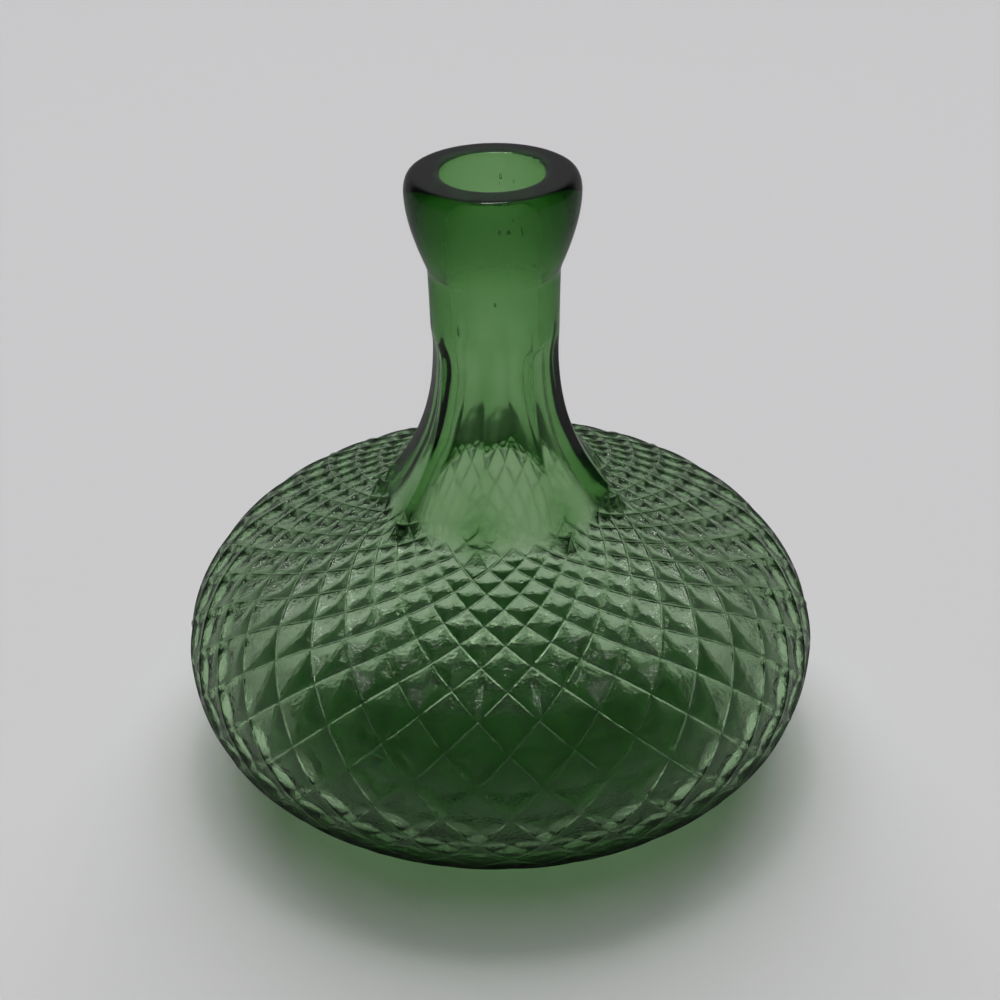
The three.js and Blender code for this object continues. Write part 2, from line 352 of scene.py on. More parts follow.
# %% [markdown]
# ## Rows of diamonds
# Thirty-two ridges climb the bowl one way round and thirty-two the other way. Where two of them cross
# is a corner of a diamond. Above the belly the diamonds keep their shape, so the rows of crossings
# crowd together as the bowl narrows. Below it they flatten. A row number that runs along the outline
# tells every later step where it is in the lattice: a crossing lies where the column and half the row
# number, added or taken away, are both whole.

# %% Row numbers along the outline
columns = 32
belly_row = 12
lower_pitch = 7.4
lower_shrink = 0.76
least_pitch = 3.3
first_row = -2
last_row = 22
neck_pitch = 3.0

upper_travel = travel_along(upper_bowl)
turning = np.r_[0, np.cumsum(np.diff(upper_travel) / upper_bowl[1:, 0])]
upper_rows = belly_row * turning / turning[-1]

row_pitches = [max(least_pitch, lower_pitch * lower_shrink**k) for k in range(last_row - belly_row + 2)]
row_travel = np.r_[0, np.cumsum(row_pitches)]


def lower_travel_at(row):
    """Travel below the belly, smoothed over one row so that the ridges run without a kink."""
    below = np.asarray(row, float) - belly_row
    nearby = np.linspace(-0.5, 0.5, 21) * np.clip(below, 0, 1)[..., None]
    return np.interp(below[..., None] + nearby, np.arange(len(row_travel)), row_travel).mean(-1)


def bowl_travel_at(row):
    """Travel from the shoulder ring to a row: negative where the lattice runs up under the neck."""
    row = np.asarray(row, float)
    above = np.where(row < 0, row * neck_pitch, np.interp(row, upper_rows, upper_travel))
    return np.where(row <= belly_row, above, upper_travel[-1] + lower_travel_at(row))


print("rows of crossings:", last_row - first_row + 1)

# %% [markdown]
# ## Neck
# Eight flutes run down the neck and flare out over the shoulder. Between them stand eight sharp ribs,
# which reach further out than the flutes and end on the shoulder in a scalloped edge. The neck is kept
# as two formulas: how far out the ribs are at a height, and how deep the flutes lie between them.

# %% Ribs and flutes
flute_count = 8
first_rib_column = -1
neck_radius = 15.2
neck_top_radius = 15.56
flare_top = shoulder[1] + 43.7
flare_foot = np.array([33.3, shoulder[1]])
flare_slope = -43.0
flute_depth = 1.0
flute_foot_depth = 4.2
flute_foot_blend = 16.0
flute_crown = shoulder[1] + 48.0
flute_arch = 8.0
rib_flat = 0.03
rib_easing = 0.08
rib_rounding = 0.15

rib_line = bezier(
    (neck_radius, flare_top),
    (neck_radius, flare_top - 20.3),
    flare_foot - 16.7 * direction(flare_slope),
    flare_foot,
)


def rib_radius(height):
    """How far out the ribs are at a height."""
    on_flare = np.interp(height, rib_line[::-1, 1], rib_line[::-1, 0])
    below = flare_foot[0] + (flare_foot[1] - height) / math.tan(math.radians(-flare_slope))
    share = (height - flare_top) / (collar_height - flare_top)
    above = neck_radius + share * (neck_top_radius - neck_radius)
    return np.where(height < flare_foot[1], below, np.where(height > flare_top, above, on_flare))


def smooth_min(a, b, reach):
    """The smaller of two values, eased over a reach where they are alike."""
    near = np.maximum(reach - np.abs(a - b), 0) / reach
    return np.minimum(a, b) - near**3 * reach / 6


def neck_surface_radius(column, height):
    """Radius of the fluted neck. Across a flute the glass is a hollow, and its ribs are slightly rounded."""
    rib = rib_radius(height)
    share = (column - first_rib_column) * flute_count / columns
    across = 2 * (share - np.floor(share)) - 1
    hollow = -smooth_min(-(1 - across**2), np.full_like(across, -rib_flat), rib_easing)
    deepening = np.maximum(0, 1 - (height - neck_foot_height) / flute_foot_blend) ** 2
    depth = flute_depth + (flute_foot_depth - flute_depth) * deepening
    run_out = np.clip(1 - (flute_crown - height) / flute_arch, 0, 2) ** 2 * flute_depth
    return smooth_min(rib, rib - depth * hollow + run_out, rib_rounding)


print(f"ribs {rib_radius(neck_foot_height):.1f} mm out at the foot of the neck")

# %% [markdown]
# ## Where neck and bowl meet
# The two shapes are joined as a sculptor joins clay: each is a distance field, and the smaller distance
# wins, with a soft fillet where they are alike. Every point of the outer skin starts on a guide line and
# moves along the line's normal until it lies on the joined surface.

# %% Guide line from the collar down to the heel
fillet = 1.2
guide_top = np.array([neck_radius - 0.6, flare_top])
neck_guide = chain(
    bezier((neck_top_radius, collar_height), (neck_radius, flare_top + 12), guide_top + (0, 8), guide_top),
    bezier(
        guide_top,
        guide_top - (0, 28),
        shoulder - 5 * direction(shoulder_slope),
        shoulder,
    ),
)
guide = chain(neck_guide, upper_bowl, lower_bowl)
guide_travel = travel_along(guide)
guide_normals = normals_of(guide)
shoulder_travel = travel_along(neck_guide)[-1]
pattern_turn = math.radians(1.335)


def shoulder_gap(radius, height):
    """Distance out of the bowl, with its shoulder carried on inwards under the neck."""
    inside = shoulder[1] + (shoulder[0] - radius) * math.tan(math.radians(-shoulder_slope))
    bowl = np.interp(radius, upper_bowl[:, 0], upper_bowl[:, 1])
    return (height - np.where(radius < shoulder[0], inside, bowl)) * math.cos(math.radians(shoulder_slope))


def flare_gap(column, radius, height):
    """Distance out of the fluted neck."""
    step = 0.05
    steepness = (rib_radius(height - step) - rib_radius(height + step)) / (2 * step)
    return (radius - neck_surface_radius(column, height)) / np.sqrt(1 + steepness**2)


# %% Outer skin at a column and a travel along the guide
settled_row = 6
furthest_in = -3.0
furthest_out = 12.0
halvings = 40


def outer_skin(column, travel):
    """Points in millimetres, and the directions in which they look out."""
    radius = np.interp(travel, guide_travel, guide[:, 0])
    height = np.interp(travel, guide_travel, guide[:, 1])
    normal = np.c_[
        np.interp(travel, guide_travel, guide_normals[:, 0]),
        np.interp(travel, guide_travel, guide_normals[:, 1]),
    ]
    joined = travel < shoulder_travel + bowl_travel_at(settled_row)
    low = np.full(len(travel), furthest_in)
    high = np.full(len(travel), furthest_out)
    for _ in range(halvings):
        middle = (low + high) / 2
        r, z = radius + middle * normal[:, 0], height + middle * normal[:, 1]
        outside = smooth_min(shoulder_gap(r, z), flare_gap(column, r, z), fillet) > 0
        high = np.where(outside, middle, high)
        low = np.where(outside, low, middle)
    moved = np.where(joined, (low + high) / 2, 0)
    radius, height = radius + moved * normal[:, 0], height + moved * normal[:, 1]
    angle = pattern_turn + column * 2 * math.pi / columns
    around = np.c_[np.sin(angle), -np.cos(angle)]
    points = np.c_[radius[:, None] * around, height]
    outward = np.c_[normal[:, :1] * around, normal[:, 1]]
    return points, outward


# %% [markdown]
# ## Mesh of the lattice
# A ridge that cuts across faces turns jagged when it is pressed, so the mesh follows the ridges: its
# lines run along both families of ridges, closer together beside each ridge, where the glass is rounded.
# Every diamond is also cut along both of its diagonals, where its four facets meet. The first and the
# last row keep only the half that lies inside the lattice.

# %% Steps across one diamond
steps_to_middle = [0.0, 0.045, 0.14, 0.29, 0.5]
steps = np.array(steps_to_middle + [1 - s for s in steps_to_middle[-2::-1]])
cell_steps = len(steps) - 1
round_steps = columns * cell_steps


def step_position(index):
    """Ridge coordinate of a mesh line: whole on a ridge, and graded in between."""
    index = np.asarray(index)
    return index // cell_steps + steps[index % cell_steps]


# %% Lattice points and faces
lattice_keys = {}
faces = []


def lattice_point(a, b):
    """Number of the point where two mesh lines cross. After one turn round it is the same point again."""
    turns = a // round_steps
    key = (a - turns * round_steps, b - turns * round_steps)
    return lattice_keys.setdefault(key, len(lattice_keys))


def press_patch(i, j, p, q):
    """The faces of one patch, those in the lower half of its diamond first. A corner is two mesh lines."""
    a, b = i * cell_steps + p, j * cell_steps + q
    low, right, far, left = (a, b), (a + 1, b), (a + 1, b + 1), (a, b + 1)
    if p == q:
        return [(low, right, far)], [(low, far, left)]
    on_diagonal = p + q == cell_steps - 1
    halves = [(low, right, left), (right, far, left)] if on_diagonal else [(low, right, far, left)]
    return (halves, []) if p > q else ([], halves)


for rows_down in range(first_row, last_row + 1):
    for j in range(columns):
        for p, q in np.ndindex(cell_steps, cell_steps):
            lower_half, upper_half = press_patch(j + rows_down, j, p, q)
            lower_half = lower_half if rows_down < last_row else []
            upper_half = upper_half if rows_down > first_row else []
            for face in lower_half + upper_half:
                faces.append(tuple(lattice_point(*corner) for corner in face))
print("lattice:", len(lattice_keys), "points,", len(faces), "faces")

# %% Where the lattice points lie
pattern_start = 27.0
pattern_ease = 1.2
heel_gap_rows = 0.3
heel_ease_rows = 1.5
keys = np.array(list(lattice_keys))
ridge_a = step_position(keys[:, 0])
ridge_b = step_position(keys[:, 1])
point_rows = ridge_a - ridge_b
point_columns = (ridge_a + ridge_b) / 2
lattice_travel = shoulder_travel + bowl_travel_at(point_rows)
lattice_points, lattice_outward = outer_skin(point_columns, lattice_travel)

half_width = np.hypot(lattice_points[:, 0], lattice_points[:, 1]) * math.pi / columns
nearby_rows = 0.25
row_ahead, row_behind = bowl_travel_at(point_rows + nearby_rows), bowl_travel_at(point_rows - nearby_rows)
row_height = (row_ahead - row_behind) / (2 * nearby_rows)
cell_width = 2 * half_width * row_height / np.hypot(half_width, row_height)
from_axis = np.hypot(lattice_points[:, 0], lattice_points[:, 1])
lattice_press = np.clip((from_axis - pattern_start) / pattern_ease, 0, 1)
lattice_press *= np.clip((last_row - heel_gap_rows - point_rows) / heel_ease_rows, 0, 1)
print(f"diamonds from {cell_width.min():.1f} to {cell_width.max():.1f} mm between ridges")

# %% [markdown]
# ## Rings for the plain stretches
# Neck, collar, mouth, inside and base are rings of points with the same spacing round the decanter as
# the lattice's edge, so they join it point to point.

# %% Rings round the axis
ring_columns = step_position(np.arange(round_steps))
ring_angles = pattern_turn + ring_columns * 2 * math.pi / columns


def round_ring(radius, height):
    """A ring of points round the axis."""
    x, y = radius * np.sin(ring_angles), -radius * np.cos(ring_angles)
    return np.c_[x, y, np.full(round_steps, height)]


def spaced(points, spacing):
    """Points at an even spacing along an outline."""
    travel = travel_along(points)
    marks = np.linspace(0, travel[-1], max(2, round(travel[-1] / spacing) + 1))
    return np.c_[np.interp(marks, travel, points[:, 0]), np.interp(marks, travel, points[:, 1])]


def softened(points, reach, fine_spacing=0.25):
    """The outline with its corners eased over the given reach, and its ends kept."""
    fine = spaced(points, fine_spacing)
    window = 2 * round(reach / fine_spacing / 2) + 1
    half = window // 2
    padded = np.vstack([np.repeat(fine[:1], half, 0), fine, np.repeat(fine[-1:], half, 0)])
    kernel = np.hanning(window + 2)[1:-1]
    kernel /= kernel.sum()
    eased = np.stack([np.convolve(padded[:, k], kernel, "valid") for k in (0, 1)], axis=1)
    eased[0], eased[-1] = points[0], points[-1]
    return eased


# %% Neck rings
neck_ring_spacing = 1.8
neck_start = shoulder_travel + float(bowl_travel_at(first_row))
neck_marks = np.linspace(neck_start, 0, round(neck_start / neck_ring_spacing) + 1)[1:]
neck_rings = [outer_skin(ring_columns, np.full(round_steps, mark))[0] for mark in neck_marks]
print(len(neck_rings), "rings up the neck")

# %% [markdown]
# The collar swells from the neck to its widest just under the lip. The lip is flat on top, with a wide
# rounding outside and a small one at the mouth.

# %% Collar and mouth rings
collar_radius = 20.4
collar_widest = collar_height + 18.6
collar_swell = collar_height + 11.3
lip_round_width = 2.0
mouth_radius = 11.7
mouth_round = 1.2
collar_ease = 3.0
lip_ease = 0.8
collar_spacing = 1.3
lip_spacing = 0.6


def arc(centre, width, height, start, end, count=24):
    """Part of an ellipse, between two angles."""
    angle = np.radians(np.linspace(start, end, count + 1))
    return np.c_[centre[0] + width * np.cos(angle), centre[1] + height * np.sin(angle)]


share = np.linspace(0, 1, 60)[:, None]
collar_foot = np.array([neck_top_radius, collar_height])
swell = (
    (1 - share) ** 2 * collar_foot
    + 2 * share * (1 - share) * np.array([collar_radius, collar_swell])
    + share**2 * np.array([collar_radius, collar_widest])
)
lip_arc = arc(
    (collar_radius - lip_round_width, collar_widest), lip_round_width, lip_height - collar_widest, 0, 90
)
mouth_arc = arc((mouth_radius + mouth_round, lip_height - mouth_round), mouth_round, mouth_round, 90, 180)
below_foot = collar_foot[None] - (0.02, 2.0)
collar_line = softened(chain(below_foot, swell), collar_ease)
collar_line = collar_line[collar_line[:, 1] > collar_height]
lip_line = softened(chain(lip_arc, mouth_arc), lip_ease)
rim_rings = [*spaced(collar_line, collar_spacing)[:-1], *spaced(lip_line, lip_spacing)]
print(len(rim_rings), "rings round the collar and lip")

# %% [markdown]
# Three small chips sit on the inner edge of the mouth, at the right and at the back, where a stopper once
# knocked. Each is a shallow hollow.

# %% Chips in the mouth
chips = [(123.0, 3.4, 0.5), (133.0, 2.6, 0.35), (160.0, 3.0, 0.45)]
chip_reach = 0.8
chip_edge = 0.35
chip_spread = 0.5


def chipped(block):
    """Lowers a ring of points near the mouth's edge. A chip is an azimuth, a half width and a depth."""
    radius = np.hypot(block[:, 0], block[:, 1])
    azimuth = np.degrees(np.arctan2(block[:, 0], -block[:, 1]))
    edge = np.array([mouth_radius + chip_edge * mouth_round, lip_height - chip_edge * mouth_round])
    near = np.exp(-((radius - edge[0]) ** 2 + (block[:, 2] - edge[1]) ** 2) / chip_reach**2)
    for middle, half_width, depth in chips:
        sink = depth * near * np.exp(-(((azimuth - middle) / half_width) ** 2))
        block = block + np.c_[block[:, :2] * (chip_spread * sink / radius)[:, None], -sink]
    return block


print(len(chips), "chips")

# %% [markdown]
# The inside follows the outside at the wall's thickness: thick in the neck, thinner over the bowl, and
# thick again in the heel and the base, which is what makes the lower bowl look so dark from the front.

# %% Inside of the vessel
neck_wall = 4.5
shoulder_wall = 5.3
bowl_wall = 2.3
heel_wall = 10.5
floor_middle = 11.0
floor_rise = -2.0
punt_depth = 3.0
bore_radius = 10.2
thick_neck_height = 100.0
flute_share = 0.67
neck_join = 24.0
inner_join = 33.0
floor_join = 53.0
floor_ease = 16.0
inside_ease = 5.0
inside_spacing = 3.2

inner_upper = upper_bowl - bowl_wall * normals_of(upper_bowl)
inner_upper = inner_upper[inner_upper[:, 0] > inner_join]
lower_share = travel_along(lower_bowl)[:, None] / travel_along(lower_bowl)[-1]
lower_walls = bowl_wall + (heel_wall - bowl_wall) * lower_share**3
inner_lower = lower_bowl - lower_walls * normals_of(lower_bowl)
deepening = np.maximum(0, 1 - (rib_line[:, 1] - neck_foot_height) / flute_foot_blend) ** 2
flute_depths = flute_depth + (flute_foot_depth - flute_depth) * deepening
neck_line = rib_line - np.c_[flute_share * flute_depths, 0 * flute_depths]
neck_walls = np.interp(neck_line[:, 1], [shoulder[1], thick_neck_height], [shoulder_wall, neck_wall])
inner_neck = neck_line - neck_walls[:, None] * normals_of(neck_line)
inner_neck[:, 0] = np.maximum(inner_neck[:, 0], bore_radius)
inner_neck = inner_neck[inner_neck[:, 0] < neck_join]
bore_line = np.array([(mouth_radius, lip_height - mouth_round), (bore_radius, collar_height)])
floor_share = np.linspace(1, 0, 40)
floor_line = np.c_[heel[0] * floor_share, floor_middle + floor_rise * floor_share**2]
inner_lower = inner_lower[inner_lower[:, 0] > floor_join]
inner_floor = softened(chain(inner_lower, floor_line), floor_ease)
inside_line = softened(chain(bore_line, inner_neck, inner_upper, inner_floor), inside_ease)
inside_rings = spaced(inside_line, inside_spacing)[1:-1]
print(len(inside_rings), "rings inside")

# %% [markdown]
# A bottle stands on a ring, not on its whole base, because a ring stands steady on an uneven table. The
# middle of the base is pushed up a little.

# %% Base rings, from the middle of the push-up out to the heel
heel_round = 0.8
foot_outer = heel[0] - heel_round
foot_width = 8.0
foot_inner = foot_outer - foot_width
base_ease = 1.6
base_spacing = 2.2
push_share = np.linspace(0, 1, 40)
push_up = np.c_[foot_inner * push_share, punt_depth * (1 - push_share**2)]
foot_flat = np.array([(foot_inner, 0.0), (foot_outer, 0.0), heel])
base_line = softened(chain(push_up, foot_flat, lower_bowl[::-1][1:]), base_ease)
edge_travel = float(bowl_travel_at(last_row)) - upper_travel[-1]
below_belly = travel_along(lower_bowl)
edge_point = np.array([np.interp(edge_travel, below_belly, lower_bowl[:, k]) for k in (0, 1)])
stop = np.argmin(np.hypot(*(base_line - edge_point).T))
base_rings = spaced(base_line[: stop + 1], base_spacing)[1:-1]
base_rings[:, 1] = np.maximum(base_rings[:, 1], 0)
print(len(base_rings), "rings under the base")

# %% [markdown]
# ## One closed skin
# The rings are stitched from the middle of the base, up the outside, over the lip and down to the floor
# inside. The order alone makes every face look out of the glass: outwards outside, and into the hollow
# inside.

# %% Stitch the skin
outer_wave = 0.05
neck_wave = 0.07
inner_wave = 0.2
points = [lattice_points]
waves = [np.full(len(lattice_points), outer_wave)]
point_count = len(lattice_points)


def add_points(block, wave=0.0):
    """Adds points, and how far the glass may wave there."""
    global point_count
    points.append(block)
    waves.append(np.full(len(block), wave))
    point_count += len(block)
    return list(range(point_count - len(block), point_count))


def stitch(low, high):
    """Joins two rings with a band of faces."""
    for k in range(round_steps):
        n = (k + 1) % round_steps
        faces.append((low[k], low[n], high[n], high[k]))


def lattice_edge(row):
    """The ring of lattice points at the edge of the pressed part."""
    shift = row // 2 * cell_steps
    return [lattice_point(k + shift, k - shift) for k in range(round_steps)]


base_pole = add_points(np.array([[0, 0, punt_depth]]))[0]
ring = add_points(round_ring(*base_rings[0]))
faces.extend((base_pole, ring[(k + 1) % round_steps], ring[k]) for k in range(round_steps))
for radius, height in base_rings[1:]:
    next_ring = add_points(round_ring(radius, height))
    stitch(ring, next_ring)
    ring = next_ring
stitch(ring, lattice_edge(last_row))
ring = lattice_edge(first_row)
rim_blocks = [chipped(round_ring(*p)) for p in rim_rings]
inside_blocks = [round_ring(*p) for p in inside_rings]
for blocks, wave in ((neck_rings, neck_wave), (rim_blocks, 0.0), (inside_blocks, inner_wave)):
    for block in blocks:
        next_ring = add_points(block, wave)
        stitch(ring, next_ring)
        ring = next_ring
floor_pole = add_points(np.array([[0, 0, inside_line[-1, 1]]]))[0]
faces.extend((ring[k], ring[(k + 1) % round_steps], floor_pole) for k in range(round_steps))
print(point_count, "points,", len(faces), "faces")

# %% [markdown]
# ## Seeds
# Old glass holds seeds, which are small bubbles drawn long by the working of the neck. Each is a closed
# skin inside the wall that faces its own hollow. Most are strewn by chance, and three large ones stand
# about where the photograph shows some. A seed is an azimuth, a height, a distance from the axis, a size
# and a stretch.

# %% Bubbles in the wall
seed_count = 26
seed_size = 0.16
seed_sizes = (0.6, 1.6)
seed_stretch = 2.2
seed_depths = (1.5, 3.0)
under_lip = 6
big_seeds = [(-38.0, 120.0, 12.6, 0.28, 5.0), (11.0, 147.0, 16.0, 0.35, 1.4), (172.0, 148.0, 15.0, 0.4, 2.0)]

ball = bmesh.new()
bmesh.ops.create_icosphere(ball, subdivisions=2, radius=1)
ball_points = np.array([v.co[:] for v in ball.verts])
ball_faces = [tuple(v.index for v in face.verts)[::-1] for face in ball.faces]
ball.free()

chance = np.random.default_rng(5)
seeds = list(big_seeds)
for _ in range(seed_count):
    azimuth, height = chance.uniform(0, 360), chance.uniform(flare_top, lip_height - under_lip)
    from_axis = bore_radius + chance.uniform(*seed_depths)
    seeds.append((azimuth, height, from_axis, seed_size * chance.uniform(*seed_sizes), seed_stretch))
for azimuth, height, from_axis, size, stretch in seeds:
    turn = math.radians(azimuth)
    centre = np.array([from_axis * math.sin(turn), -from_axis * math.cos(turn), height])
    block = add_points(centre + ball_points * size * (1, 1, stretch))
    faces.extend(tuple(block[k] for k in face) for face in ball_faces)
points = np.vstack(points)
waves = np.concatenate(waves)
print(len(seeds), "seeds")

# %% [markdown]
# The press and the glass both need to know, at each point, where it is between the ridges, how wide its
# diamond is and how wavy the glass may be. Attributes on the points carry that. The clear panels at the
# foot of the neck get one too: their skin is a little uneven, so what lies behind them blurs.

# %% Skin as a mesh, with what the lattice needs to know kept on its points
skin_mesh = bpy.data.meshes.new("decanter_skin")
skin_mesh.from_pydata((points * TO_METRES).tolist(), [], faces)
skin_mesh.shade_smooth()


def keep_on_points(mesh, name, values, kind="FLOAT"):
    """Writes the given values on the first points, which are the lattice, and zero on the rest."""
    values = np.asarray(values, float)
    padded = np.zeros((len(mesh.vertices), *values.shape[1:]))
    padded[: len(values)] = values
    layer = mesh.attributes.new(name, kind, "POINT")
    layer.data.foreach_set("vector" if kind == "FLOAT_VECTOR" else "value", padded.ravel())


keep_on_points(skin_mesh, "ridge_a", ridge_a)
keep_on_points(skin_mesh, "ridge_b", ridge_b)
keep_on_points(skin_mesh, "press", lattice_press)
keep_on_points(skin_mesh, "cell_width", cell_width * TO_METRES)
keep_on_points(skin_mesh, "outward", lattice_outward, "FLOAT_VECTOR")
keep_on_points(skin_mesh, "wave", waves * TO_METRES)

panel_heights = [60.0, 66.0, 80.0, 95.0]
panel_shares = np.interp(points[:, 2], panel_heights, [0.0, 1.0, 1.0, 0.0])
panel_shares *= (waves > 0) & (waves < inner_wave)
panel_shares[: len(lattice_press)] *= 1 - lattice_press
keep_on_points(skin_mesh, "panel", panel_shares)

# %% [markdown]
# Smooth shading would wash out the lines where the four facets of a diamond meet, so those edges are
# marked as sharp. The ridges themselves are rounded and stay smooth.

# %% Facet edges stay crisp
pressed_enough = 0.3
ends = np.zeros(len(skin_mesh.edges) * 2, int)
skin_mesh.edges.foreach_get("vertices", ends)
ends = ends.reshape(-1, 2)
in_lattice = (ends < len(keys)).all(1)
edge_keys = keys[np.where(in_lattice[:, None], ends, 0)]
level = edge_keys[:, :, 0] - edge_keys[:, :, 1]
upright = (edge_keys[:, :, 0] + edge_keys[:, :, 1]) % (2 * round_steps)
along_row = (level[:, 0] == level[:, 1]) & (level[:, 0] % cell_steps == 0)
along_column = (upright[:, 0] == upright[:, 1]) & (upright[:, 0] % cell_steps == 0)
pressed_ends = (lattice_press[np.where(in_lattice[:, None], ends, 0)] > pressed_enough).all(1)
crisp = in_lattice & pressed_ends & (along_row | along_column)
skin_mesh.attributes.new("sharp_edge", "BOOLEAN", "EDGE").data.foreach_set("value", crisp)
skin = bpy.data.objects.new("decanter_skin", skin_mesh)
scene.collection.objects.link(skin)
print(int(crisp.sum()), "crisp edges")

# %% [markdown]
# ## Pressing the diamonds
# The lattice is a rule, so Geometry Nodes press it. A ping-pong gives the distance to the nearest ridge
# of each family, and the smaller of the two is the distance to any ridge. Glass sinks with that
# distance, which makes each diamond a shallow four-sided pyramid pointing into the wall. Its facets are
# slightly hollow, and a smooth maximum rounds the ridge tops. A noise along the normal then adds the
# waves that glass keeps from its mould, inside and out.


# %% Tree that presses the diamonds
def point_value(tree, name, kind="FLOAT"):
    """Reads an attribute of the points."""
    node = tree.nodes.new("GeometryNodeInputNamedAttribute")
    node.data_type = kind
    node.inputs["Name"].default_value = name
    return node.outputs["Attribute"]


def new_tree(name, sizes):
    """A geometry tree with one geometry in and out and a named input for each size."""
    tree = bpy.data.node_groups.new(name, "GeometryNodeTree")
    tree.interface.new_socket("Geometry", in_out="INPUT", socket_type="NodeSocketGeometry")
    tree.interface.new_socket("Geometry", in_out="OUTPUT", socket_type="NodeSocketGeometry")
    for size_name, kind in sizes:
        tree.interface.new_socket(size_name, in_out="INPUT", socket_type=kind)
    return tree, tree.nodes.new("NodeGroupInput"), tree.nodes.new("NodeGroupOutput")


press_tree, given, result = new_tree(
    "press_diamonds",
    [
        ("Depth", "NodeSocketFloat"),
        ("Steepest", "NodeSocketFloat"),
        ("Ridge Round", "NodeSocketFloat"),
        ("Hollow", "NodeSocketFloat"),
        ("Wave Scale", "NodeSocketFloat"),
        ("Material", "NodeSocketMaterial"),
    ],
)
link = press_tree.links.new


def press_math(operation, *inputs):
    """A Math node in the press's own tree."""
    return math_node(press_tree, operation, *inputs)


def scaled(vector, scale):
    """A vector times a number, in the press's own tree."""
    node = new_node(press_tree, "ShaderNodeVectorMath", operation="SCALE")
    link(vector, node.inputs[0])
    link(scale, node.inputs["Scale"])
    return node.outputs["Vector"]


width = point_value(press_tree, "cell_width")
to_ridge = [
    press_math("MULTIPLY", press_math("PINGPONG", point_value(press_tree, name), 0.5), width)
    for name in ("ridge_a", "ridge_b")
]
nearest = press_math("MINIMUM", *to_ridge)
even_slope = press_math("DIVIDE", press_math("MULTIPLY", given.outputs["Depth"], 2.0), width)
slope = press_math("MINIMUM", even_slope, given.outputs["Steepest"])
to_valley = press_math("ABSOLUTE", press_math("SUBTRACT", *to_ridge))
rounded = press_math("SMOOTH_MAX", nearest, 0.0, given.outputs["Ridge Round"])
crest = press_math("DIVIDE", given.outputs["Ridge Round"], 6.0)
sunk = press_math("SUBTRACT", rounded, crest)
to_centre = press_math("DIVIDE", press_math("MULTIPLY", sunk, 2.0), width)
most = press_math("ADD", given.outputs["Hollow"], 1.0)
eased = press_math("SUBTRACT", most, press_math("MULTIPLY", to_centre, given.outputs["Hollow"]))
drop = press_math("MULTIPLY", press_math("MULTIPLY", sunk, slope), eased)
drop = press_math("MULTIPLY", drop, point_value(press_tree, "press"))
inward = scaled(point_value(press_tree, "outward", "FLOAT_VECTOR"), press_math("MULTIPLY", drop, -1.0))

# %% Waves, and the end of the tree
waviness = new_node(press_tree, "ShaderNodeTexNoise")
link(given.outputs["Wave Scale"], waviness.inputs["Scale"])
swing = press_math("MULTIPLY_ADD", waviness.outputs["Fac"], 2.0, -1.0)
facing = press_tree.nodes.new("GeometryNodeInputNormal").outputs["Normal"]
waved = scaled(facing, press_math("MULTIPLY", swing, point_value(press_tree, "wave")))
shift = new_node(press_tree, "ShaderNodeVectorMath", operation="ADD")
link(inward, shift.inputs[0])
link(waved, shift.inputs[1])
move = press_tree.nodes.new("GeometryNodeSetPosition")
realize = press_tree.nodes.new("GeometryNodeRealizeInstances")
paint = press_tree.nodes.new("GeometryNodeSetMaterial")
geometry = given.outputs["Geometry"]
for name, value in (("to_ridge", nearest), ("to_valley", to_valley)):
    store = press_tree.nodes.new("GeometryNodeStoreNamedAttribute")
    store.inputs["Name"].default_value = name
    link(geometry, store.inputs["Geometry"])
    link(value, store.inputs["Value"])
    geometry = store.outputs["Geometry"]
link(geometry, move.inputs["Geometry"])
link(shift.outputs["Vector"], move.inputs["Offset"])
link(move.outputs["Geometry"], realize.inputs["Geometry"])
link(realize.outputs["Geometry"], paint.inputs["Geometry"])
link(given.outputs["Material"], paint.inputs["Material"])
link(paint.outputs["Geometry"], result.inputs["Geometry"])
print("press_diamonds has", len(press_tree.nodes), "nodes")

# %% [markdown]
# ## Green glass
# Glass is a clear dielectric whose colour lies in its depth: thin walls look pale and thick ones almost
# black. So the surface is white and fully transmitting, and a plain volume absorption takes out red and
# blue on the way through. A bump adds what is too fine for the mesh: a bead along each ridge, a fill in
# each valley and the grain of an iron mould.

# %% Glass material
glass_colour = (0.26, 0.588, 0.156, 1)
glass_density = 250.0
glass_bend = 1.51
plain_roughness = 0.01
pressed_roughness = 0.03
panel_haze = 0.14

glass = bpy.data.materials.new("bottle_glass")
tree = clear_tree(glass)
surface = new_node(tree, "ShaderNodeBsdfPrincipled")
surface.inputs["Base Color"].default_value = (1, 1, 1, 1)
surface.inputs["IOR"].default_value = glass_bend
surface.inputs["Transmission Weight"].default_value = 1.0
place = new_node(tree, "ShaderNodeTexCoord").outputs["Object"]
pressed, from_ridge, from_valley, cell, panel = (
    new_node(tree, "ShaderNodeAttribute", attribute_name=name).outputs["Fac"]
    for name in ("press", "to_ridge", "to_valley", "cell_width", "panel")
)
roughness = new_node(tree, "ShaderNodeMapRange")
roughness.inputs["To Min"].default_value = plain_roughness
roughness.inputs["To Max"].default_value = pressed_roughness
tree.links.new(pressed, roughness.inputs["Value"])
hazed = math_node(tree, "MULTIPLY_ADD", panel, panel_haze, roughness.outputs["Result"])
tree.links.new(hazed, surface.inputs["Roughness"])
print("green glass, density", glass_density)

# %% Beads, fills and grain
line_width = 0.0003
ridge_reach = 0.03
ridge_steepness = 0.28
valley_reach = 0.10
valley_steepness = 0.10
grain_scale = 1100
grain_detail = 3
grain_depth = 0.0002


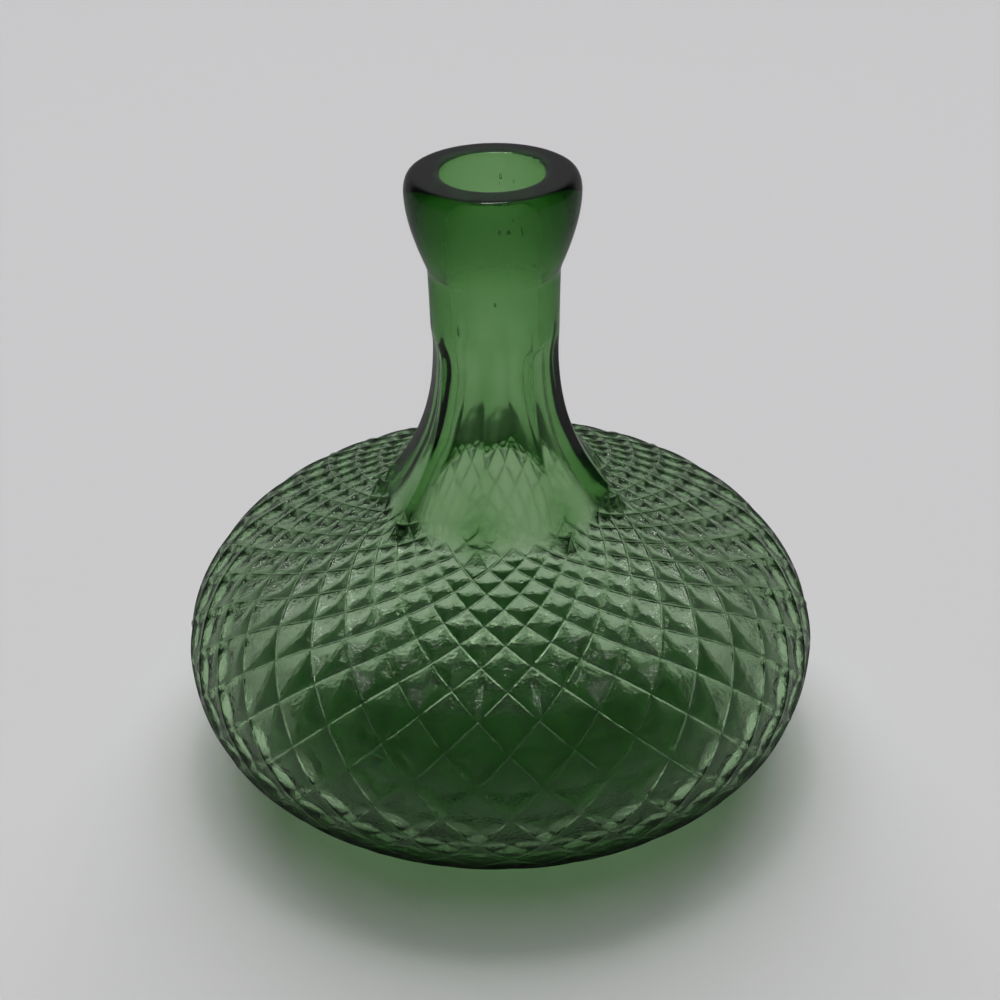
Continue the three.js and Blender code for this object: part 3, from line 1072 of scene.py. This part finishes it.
def swelling(tree, distance, reach, steepness):
    """A rounded swelling beside a line, falling to nothing at its reach."""
    ramp = new_node(tree, "ShaderNodeMapRange", interpolation_type="SMOOTHSTEP")
    ramp.inputs["To Min"].default_value = steepness
    ramp.inputs["To Max"].default_value = 0.0
    tree.links.new(math_node(tree, "DIVIDE", distance, reach), ramp.inputs["Value"])
    return math_node(tree, "MULTIPLY", ramp.outputs["Result"], reach)


bead_reach = math_node(tree, "MULTIPLY_ADD", cell, ridge_reach, line_width)
ridge_bead = swelling(tree, from_ridge, bead_reach, ridge_steepness)
fill_reach = math_node(tree, "MULTIPLY_ADD", cell, valley_reach, line_width)
valley_fill = swelling(tree, from_valley, fill_reach, valley_steepness)
grain = new_node(tree, "ShaderNodeTexNoise", Scale=grain_scale, Detail=grain_detail)
tree.links.new(place, grain.inputs["Vector"])
grain_height = math_node(tree, "MULTIPLY", grain.outputs["Fac"], grain_depth)
height = math_node(tree, "ADD", math_node(tree, "ADD", ridge_bead, valley_fill), grain_height)
height = math_node(tree, "MULTIPLY", height, pressed)
bump = new_node(tree, "ShaderNodeBump", Strength=1.0, Distance=1.0)
tree.links.new(height, bump.inputs["Height"])
tree.links.new(bump.outputs["Normal"], surface.inputs["Normal"])
depth = new_node(tree, "ShaderNodeVolumeAbsorption", Color=glass_colour, Density=glass_density)
output = new_node(tree, "ShaderNodeOutputMaterial")
tree.links.new(surface.outputs["BSDF"], output.inputs["Surface"])
tree.links.new(depth.outputs["Volume"], output.inputs["Volume"])
print("bottle_glass has", len(tree.nodes), "nodes")


# %% [markdown]
# A modifier's inputs are set by each socket's identifier, and its sizes are in metres, as the mesh is by
# now. The evaluated result then takes the place of the skin's mesh and the modifier goes, so that what
# is kept is a plain mesh.

# %% Run the tree and keep a plain mesh
def made_plain(obj, tree, **sizes):
    """Runs a geometry tree on an object and puts the plain result in the object's place."""
    modifier = obj.modifiers.new(tree.name, "NODES")
    modifier.node_group = tree
    for item in tree.interface.items_tree:
        if item.in_out == "INPUT" and item.name in sizes:
            modifier[item.identifier] = sizes[item.name]
    evaluated = obj.evaluated_get(bpy.context.evaluated_depsgraph_get())
    mesh = bpy.data.meshes.new_from_object(evaluated)
    obj.modifiers.remove(modifier)
    obj.data = mesh
    return obj


diamond_depth = 0.0014
steepest_facet = 0.36
ridge_round = 0.0005
facet_hollow = 0.5
wave_scale = 110.0
made_plain(
    skin,
    press_tree,
    **{
        "Depth": diamond_depth,
        "Steepest": steepest_facet,
        "Ridge Round": ridge_round,
        "Hollow": facet_hollow,
        "Wave Scale": wave_scale,
        "Material": glass,
    },
)
skin.name = "decanter_glass"
print(len(skin.data.polygons), "faces pressed")

# %% [markdown]
# ## Into the frame
# The skin rides on the only body there is and stands for the four CAD nodes.

# %% Frame calls
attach(skin, "root")
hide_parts("base_plate", "diamond_bowl", "fluted_neck", "lip_collar")
